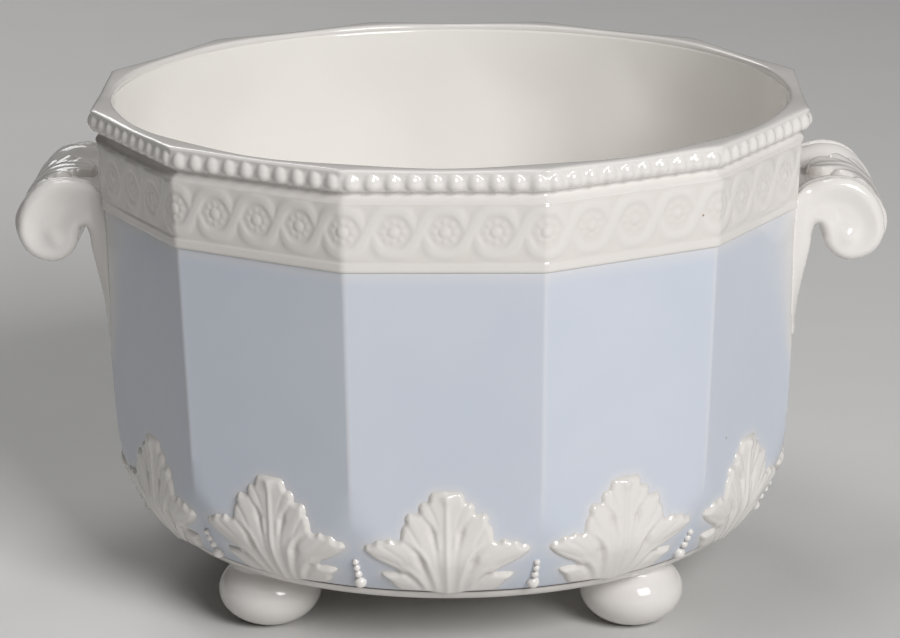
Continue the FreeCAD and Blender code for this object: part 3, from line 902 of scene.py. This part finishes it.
LEAF_RIDGES = [
    [(0, 29, 1.1, 0.25), (0, 45, 1.0, 0.55), (0, 62, 0.9, 0.5), (0, 67, 0.9, 0.3)],
    [(7.4, 61.0, 1.0, 0.1), (5.4, 57.0, 1.0, 0.25), (3.4, 53.0, 0.9, 0.3), (2.8, 49, 0.9, 0.2)],
    [(12.4, 51, 1.0, 0.1), (9.2, 47.6, 1.0, 0.3), (7.0, 44.2, 1.0, 0.4), (5.6, 40, 1.0, 0.35),
     (4.3, 35, 1.0, 0.25), (3.8, 31, 0.9, 0.1)],
    [(15.8, 41.6, 1.0, 0.15), (12.6, 39.8, 1.0, 0.35), (10.2, 37.2, 1.0, 0.4), (8.4, 34, 1.0, 0.3),
     (7.2, 31, 0.9, 0.1)]]
LEAF_VEINS = [
    [(14.2, 57.6, 0.6, -0.15), (11.6, 53.4, 0.7, -0.2), (9.6, 49.2, 0.6, -0.1)],
    [(24.0, 50.6, 0.6, -0.2), (19.6, 47.6, 0.7, -0.2), (15.2, 44.4, 0.6, -0.1)],
    [(27.6, 47.0, 0.6, -0.1), (21.0, 44.0, 0.7, -0.15), (16.2, 41.8, 0.6, -0.1)],
    [(6.8, 65.4, 0.6, -0.15), (4.6, 61.0, 0.7, -0.2), (3.2, 57.0, 0.6, -0.1)]]
LEAF_LOBES = [
    [(8.4, 50.5, 2.0, 0.1), (10.8, 55.5, 2.2, 0.2), (12.6, 59.4, 1.8, 0.25)],
    [(13.5, 43.8, 2.2, 0.1), (18.5, 46.2, 2.5, 0.2), (25.0, 47.4, 2.2, 0.25)],
    [(13.4, 33.0, 1.6, 0.1), (17.4, 34.6, 1.7, 0.2), (21.0, 36.6, 1.4, 0.25)],
    [(0, 67.0, 2.2, 0.7), (0, 67.8, 2.2, 0.8)]]
leaf, across, up, lift = pressed("acanthus_leaf_01_glazed", LEAF_EDGE,
                                 LEAF_VALLEYS + LEAF_VEINS + LEAF_RIDGES + LEAF_LOBES,
                                 spacing=0.4, thickness=1.25, edge=1.9)
print("the leaf's relief goes up to", round(lift.max(), 2), "mm")


# %% Lay the leaf on the wall
def wall_out(across, z):
    """How far out the front panel's surface lies."""
    return soft_low(wall_apothem(z), np.sqrt(turned_radius(z) ** 2 - across ** 2), TURN_SOFT)


def on_wall(across, z, lift):
    """The place of a point that stands off the front panel by lift."""
    nudge = 0.2
    lean_x = (wall_out(across + nudge, z) - wall_out(across - nudge, z)) / (2 * nudge)
    lean_z = (wall_out(across, z + nudge) - wall_out(across, z - nudge)) / (2 * nudge)
    scale = lift / np.sqrt(1 + lean_x ** 2 + lean_z ** 2)
    return across - lean_x * scale, -(wall_out(across, z) + scale), z - lean_z * scale


LEAF_BACK = 0.8
LEAF_FULL = 1.3  # at this lift neither pooled glaze nor painted shade darkens the leaf
# Low parts of the leaf are darkened: pooled glaze and painted shade.
mark(leaf, "hollow", np.clip(1 - lift / LEAF_FULL, 0, 1))
place(leaf, *on_wall(across, up, lift))
apply_modifier(leaf, "SOLIDIFY", thickness=LEAF_BACK * MM, offset=-1)
weld(leaf)
told(leaf)
leaves = all_round(leaf, "acanthus_leaf")

# %% Spray that keeps off the leaves
x, y, z = points(pot).T / MM
panel_angle = (np.arctan2(y, x) + math.pi / 2 + HALF_SIDE) % (2 * HALF_SIDE) - HALF_SIDE
beyond_leaf = np.maximum(-inside_by(np.hypot(x, y) * np.sin(panel_angle), z, LEAF_EDGE), 0)
HALO, HALO_WIDTH, HALO_TOP = 0.35, 2.2, 80
mark(pot, "halo", HALO * np.exp(-(beyond_leaf / HALO_WIDTH) ** 2) * (z < HALO_TOP))
print("the spray fades round", len(leaves), "leaves")

# %% [markdown]
# ## The pearl drops
# Each arris ends at the foot in a drop of four pearls that grow towards the ring. They are balls that are
# half sunk in the wall. A voxel remesh melts them together a little, and a smooth modifier rounds the
# joins as the glaze does.

# %% One drop and its copies
PEARLS = (2.3, 1.5, 1.35, 1.25)
FIRST_PEARL = 1.4  # above the wall's lower edge
STANDS_OUT = 0.2  # share of its radius by which a pearl's middle stands off the arris


def fused(name, bars, voxel, passes):
    """Joins pieces, melts them together and smooths them."""
    deselect()
    for bar in bars:
        bar.select_set(True)
    bpy.context.view_layer.objects.active = bars[0]
    bpy.ops.object.join()
    piece = named(name)
    apply_modifier(piece, "REMESH", mode="VOXEL", voxel_size=voxel)
    apply_modifier(piece, "SMOOTH", factor=0.5, iterations=passes)
    return piece


def arris_radius(z):
    return soft_low(wall_apothem(z) / math.cos(HALF_SIDE), turned_radius(z), TURN_SOFT)


balls = []
top_of_last = WALL_BOTTOM + FIRST_PEARL
for pearl in PEARLS:
    middle = top_of_last + pearl
    deselect()
    bpy.ops.mesh.primitive_uv_sphere_add(segments=24, ring_count=14, radius=pearl,
                                         location=(arris_radius(middle) + STANDS_OUT * pearl, 0, middle))
    bpy.ops.object.transform_apply(location=True)
    balls.append(bpy.context.active_object)
    top_of_last = middle + pearl
drop = fused("pearl_drop_01_glazed", balls, voxel=0.3, passes=4)
place(drop, *points(drop).T)  # the drop was melted at a thousand times its size
first_drop = sum(low_and_high("pearl_drop_01")) / 2
drop.data.transform(Matrix.Rotation(math.atan2(first_drop[1], first_drop[0]), 4, "Z"))
weld(drop)
told(drop)
drops = all_round(drop, "pearl_drop")

# %% [markdown]
# ## The scroll handles
# Each handle is a broad scroll as wide as its panel: it leaves the wall under the rim, rolls over and
# under, and a tail runs from it down the wall. Each end is a smooth domed comma with a rounded edge.
# Behind it a crease and a thin ridge run over the back of the scroll, and a hollow between the ridges
# holds a leaf. The section is drawn as a closed Bezier curve and drawn out to the handle's width. A
# remesh gives it an even skin, and then each point is moved by how far it lies inside the outline, how
# far along it and how far from the middle. Close to the wall the flanks sweep outwards, until they meet
# the arrises of the set-back panel.

# %% The section of the handle
HANDLE_SECTION = [  # x and z, from the root over the back to the tail
    (126.0, 151.8), (129.0, 154.2), (135.0, 156.6), (142.0, 157.3), (148.5, 155.8), (153.6, 152.0),
    (157.3, 147.0), (159.2, 141.2), (158.4, 135.0), (155.0, 130.3), (149.8, 127.5), (144.8, 127.1),
    (139.9, 129.6), (136.9, 134.0), (136.3, 137.6), (134.4, 140.4), (132.9, 138.4), (131.9, 132.1),
    (130.3, 124.5), (128.3, 115.0), (126.9, 106.0), (125.2, 98.0), (123.4, 104.0), (123.9, 125.0),
    (124.6, 145.0)]
HANDLE_HALF = low_and_high("handle_right")[1][1]
deselect()
bpy.ops.curve.primitive_bezier_curve_add()
outline = bpy.context.active_object
outline.data.dimensions = "2D"
outline.data.fill_mode = "NONE"
outline.data.resolution_u = 10
path = outline.data.splines[0]
path.bezier_points.add(len(HANDLE_SECTION) - 2)
for point, (x, z) in zip(path.bezier_points, HANDLE_SECTION):
    point.co = (x, z, 0)
    point.handle_left_type = point.handle_right_type = "AUTO"
path.use_cyclic_u = True
outline.matrix_world = Matrix.Identity(4)
bpy.context.view_layer.update()
line = bpy.data.meshes.new_from_object(outline)
edge_line = np.array([v.co[:2] for v in line.vertices])
bpy.data.meshes.remove(line)
along_edge = np.concatenate([[0], np.cumsum(np.hypot(*np.diff(edge_line, axis=0).T))])
ahead = np.roll(edge_line, -1, axis=0) - np.roll(edge_line, 1, axis=0)
ahead = ahead / np.hypot(*ahead.T)[:, None]
facing = np.stack([-ahead[:, 1], ahead[:, 0]], axis=1)


def run_to(x, z):
    """How far along the outline the point nearest to a place lies."""
    return along_edge[np.hypot(edge_line[:, 0] - x, edge_line[:, 1] - z).argmin()]


ROOT, CREST, SHOULDER = run_to(129.0, 154.2), run_to(142.0, 157.3), run_to(153.6, 152.0)
OUTERMOST, BOTTOM = run_to(159.2, 141.2), run_to(147.0, 127.2)
print("over the back of the scroll it is", round(BOTTOM - ROOT, 1), "mm")

# %% Draw it out, give it an even skin and round its ends
outline.data.fill_mode = "BOTH"
outline.data.extrude = HANDLE_HALF
bpy.ops.object.convert(target="MESH")
handle = fused("handle_right_glazed", [bpy.context.active_object], voxel=0.55, passes=2)
x, z, y = points(handle).T
apart = np.hypot(x[:, None] - edge_line[None, :, 0], z[:, None] - edge_line[None, :, 1])
nearest, inside = apart.argmin(axis=1), apart.min(axis=1)
END_ROUNDING, DISH, EYE, EYE_HEIGHT, EYE_SPREAD = 3.6, 1.2, (145.1, 136.0), 1.6, 3.3
from_eye = np.hypot(x - EYE[0], z - EYE[1])
inwards = END_ROUNDING - np.minimum(inside, END_ROUNDING)
drop_off = END_ROUNDING - np.sqrt(END_ROUNDING ** 2 - inwards ** 2)
sunk = DISH * ease(inside, 1.5, 9) * ease(x, 128, 142) - EYE_HEIGHT * np.exp(-(from_eye / EYE_SPREAD) ** 2)
y = y * (1 - (drop_off + sunk) / HANDLE_HALF)
print("the skin has", len(x), "points")

# %% Crease, ridge and hollow over the back
RIDGE_AT, RIDGE_HALF = 26.0, 1.3
CREASE_AT, CREASE_HALF, CREASE_DEPTH = 28.4, 0.8, 1.2
SKIN_DEPTH = 7  # the relief fades out at this depth inside the scroll
BACK_STOPS = [ROOT - 4, ROOT + 1, CREST, SHOULDER, OUTERMOST, OUTERMOST + 13, BOTTOM + 9]
TROUGH = [0, 3.4, 3.2, 2.3, 1.0, 0, 0]  # depth at each stop
TROUGH_FLAT, TROUGH_HALF = 17, 25
RIDGE = [0, 0.2, 0.3, 0.6, 1.3, 0.2, 0]  # height at each stop
DISC_EDGE = [0, 0.5, 0.8, 0.6, -0.4, 0.2, 0]  # height at each stop


def trough(run, off_middle):
    """Depth of the hollow between the ridges."""
    return np.interp(run, BACK_STOPS, TROUGH) * (1 - ease(off_middle, TROUGH_FLAT, TROUGH_HALF))


off_middle, run = np.abs(y), along_edge[nearest]
on_back = ease(run, ROOT - 4, ROOT + 1) * (1 - ease(run, OUTERMOST + 4, OUTERMOST + 13))
ridge = np.interp(run, BACK_STOPS, RIDGE) * np.exp(-((off_middle - RIDGE_AT) / RIDGE_HALF) ** 2)
crease = -CREASE_DEPTH * on_back * np.exp(-((off_middle - CREASE_AT) / CREASE_HALF) ** 2)
disc_edge = np.interp(run, BACK_STOPS, DISC_EDGE) * ease(off_middle, CREASE_AT + 0.2, CREASE_AT + 1.4)
shift = (ridge + crease + disc_edge - trough(run, off_middle)) * np.clip(1 - inside / SKIN_DEPTH, 0, 1)
x, z = x + shift * facing[nearest, 0], z + shift * facing[nearest, 1]
print("the relief of the back goes from", round(shift.min(), 2), "to", round(shift.max(), 2), "mm")

# %% Sweep the flanks out to the arrises
WIDENING = 1.732  # how much a panel widens at each arris for each mm that it is set back
SWEEP = 1.155  # how far out the sweep begins, for each mm that it covers
FLANK_LAP = 0.3
panel_half = wall_apothem(z) * math.tan(HALF_SIDE) + WIDENING * handle_side(z)
spread = np.maximum(panel_half - HANDLE_HALF + FLANK_LAP, FLANK_LAP)
near_wall = np.clip((wall_apothem(z) - handle_side(z) + SWEEP * spread - x) / (SWEEP * spread), 0, 1)
y = y * (1 + spread / HANDLE_HALF * near_wall ** 2)
place(handle, x, y, z)
apply_modifier(handle, "SMOOTH", factor=0.5, iterations=3)
weld(handle)
told(handle)

# %% The leaf in the hollow
BACK_EDGE = both_halves([(0, 2.4), (4.5, 3.0), (8.4, 5.2), (10.8, 8.4), (11.0, 11.0), (10.0, 12.6),
                         (13.2, 12.2), (15.6, 14.8), (16.2, 18.0), (15.0, 20.2), (17.4, 20.4),
                         (18.8, 23.6), (18.8, 27.4), (17.2, 29.6), (18.8, 30.8), (18.8, 35.2),
                         (16.8, 39.0), (14.2, 40.8), (13.8, 43.4), (9.6, 47.6), (4.6, 50.6), (0, 52.0)])
BACK_LINES = [
    [(0, 6, 1.6, 0.2), (0, 20, 1.6, 0.5), (0, 40, 1.4, 0.4), (0, 48, 1.2, 0.1)],
    [(10.2, 12.6, 1.4, -0.7), (7.6, 17.5, 1.7, -0.5), (4.6, 26, 1.4, -0.2), (3.0, 34, 1.0, -0.1)],
    [(15.0, 20.4, 1.4, -0.7), (11.4, 25.5, 1.7, -0.4), (7.4, 34, 1.4, -0.2), (4.4, 42, 1.0, -0.1)],
    [(17.2, 29.8, 1.3, -0.5), (13.6, 34.5, 1.6, -0.3), (8.4, 42, 1.2, -0.1)],
    [(4.0, 5.5, 2.4, 0.5), (7.6, 8.6, 2.4, 0.7), (5.4, 15, 1.8, 0.3)],
    [(10.0, 20, 1.8, 0.2), (13.2, 16.2, 2.4, 0.6)],
    [(11.6, 29, 1.8, 0.2), (16.0, 25.2, 2.4, 0.4)],
    [(11.0, 38.5, 1.8, 0.2), (16.2, 34.6, 2.2, 0.3)]]
BACK_THICKNESS = 2.3
BACK_LET_IN = 0.1
handle_leaf, across, up, lift = pressed("handle_leaf_right_glazed", BACK_EDGE, BACK_LINES, spacing=0.42,
                                        thickness=BACK_THICKNESS, edge=2.8)
# Low parts of the leaf in the hollow are darkened: pooled glaze and painted shade.
mark(handle_leaf, "hollow", np.clip(1 - lift / BACK_THICKNESS, 0, 1))
run = along_edge - ROOT
spot = [np.interp(up, run, edge_line[:, i]) for i in (0, 1)]
out = [np.interp(up, run, facing[:, i]) for i in (0, 1)]
stand = lift - trough(up + ROOT, np.abs(across)) - BACK_LET_IN
place(handle_leaf, spot[0] + out[0] * stand, -across, spot[1] + out[1] * stand)
apply_modifier(handle_leaf, "SOLIDIFY", thickness=LEAF_BACK * MM, offset=-1)
weld(handle_leaf)
told(handle_leaf)
handles = {"handle_right": handle, "handle_left": copy_of(handle, "handle_left_glazed", mirror=True),
           "handle_leaf_right": handle_leaf,
           "handle_leaf_left": copy_of(handle_leaf, "handle_leaf_left_glazed", mirror=True)}

# %% Glaze on the ornament
for pieces in (bands, leaves, drops, handles):
    for node, piece in pieces.items():
        finish(piece, white_glaze, "white_glaze", node)
print("finished", sum(len(pieces) for pieces in (bands, leaves, drops, handles)), "pieces of ornament")

# %% [markdown]
# ## Camera, light and floor
# The photograph was taken with a long lens from a little above the rim. A large soft lamp stands to the
# right of the camera and above it. A weaker one hangs overhead, a little to the left, and lights the
# inside. One behind the pot keeps its back from going dark, and the floor is plain and pale.

# %% Camera
deselect()
bpy.ops.object.camera_add()
camera = bpy.context.active_object
camera.data.lens = 135.0
camera.data.sensor_width = 36.0
camera.data.clip_end = 20
elevation, yaw, roll = (math.radians(degrees) for degrees in (15.991, 1.1255, -0.395))
back = Vector((math.sin(yaw) * math.cos(elevation), -math.cos(yaw) * math.cos(elevation),
               math.sin(elevation)))
right = Vector((math.cos(yaw), math.sin(yaw), 0))
up = back.cross(right)
right, up = right * math.cos(roll) + up * math.sin(roll), up * math.cos(roll) - right * math.sin(roll)
eye = Vector((0.0233, -1.2286, 0.4479))
camera.matrix_world = Matrix.Translation(eye) @ Matrix((right, up, back)).transposed().to_4x4()
bpy.context.scene.camera = camera
print("camera stands", round(eye.length, 3), "m from the foot of the pot")

# %% Lamps and world
LAMPS = {  # degrees from the front to the right and up, distance and size in m, watts
    "key_lamp": (31, 29, 3.0, 1.235, 75),
    "top_lamp": (-90, 78, 2.0, 0.9, 10.5),
    "back_lamp": (-155, 35, 2.2, 0.8, 8)}
AIM = Vector((0, 0, 0.1))  # the middle of the pot
for name, (azimuth, height, distance, size, power) in LAMPS.items():
    azimuth, height = math.radians(azimuth), math.radians(height)
    towards = Vector((math.sin(azimuth) * math.cos(height), -math.cos(azimuth) * math.cos(height),
                      math.sin(height)))
    deselect()
    bpy.ops.object.light_add(type="AREA", location=AIM + distance * towards)
    lamp = bpy.context.active_object
    lamp.name = name
    lamp.rotation_euler = towards.to_track_quat("Z", "Y").to_euler()
    lamp.data.size = size
    lamp.data.energy = power
world = bpy.context.scene.world or bpy.data.worlds.new("studio")
bpy.context.scene.world = world
world.use_nodes = True
background = world.node_tree.nodes["Background"]
background.inputs["Color"].default_value = (0.9, 0.93, 1.0, 1)
background.inputs["Strength"].default_value = 0.02
bpy.context.scene.view_settings.view_transform = "Standard"
print("lamps:", ", ".join(LAMPS))

# %% Floor
deselect()
bpy.ops.mesh.primitive_plane_add(size=8, location=(0, 1.5, 0))
floor = bpy.context.active_object
floor.name = "floor"
floor_paper = bpy.data.materials.new("floor_paper")
floor_paper.use_nodes = True
tree = floor_paper.node_tree
shader = tree.nodes["Principled BSDF"]
mottle = placed(tree, settled, Ripple=1.0).outputs["Mottle"]
tint = mixed(tree, mottle, display(216, 215, 213), display(220, 219, 217))
feed(tree, shader.inputs["Base Color"], tint)
shader.inputs["Roughness"].default_value = 0.75
floor.data.materials.append(floor_paper)
print("the floor is", floor.dimensions[0], "m wide")
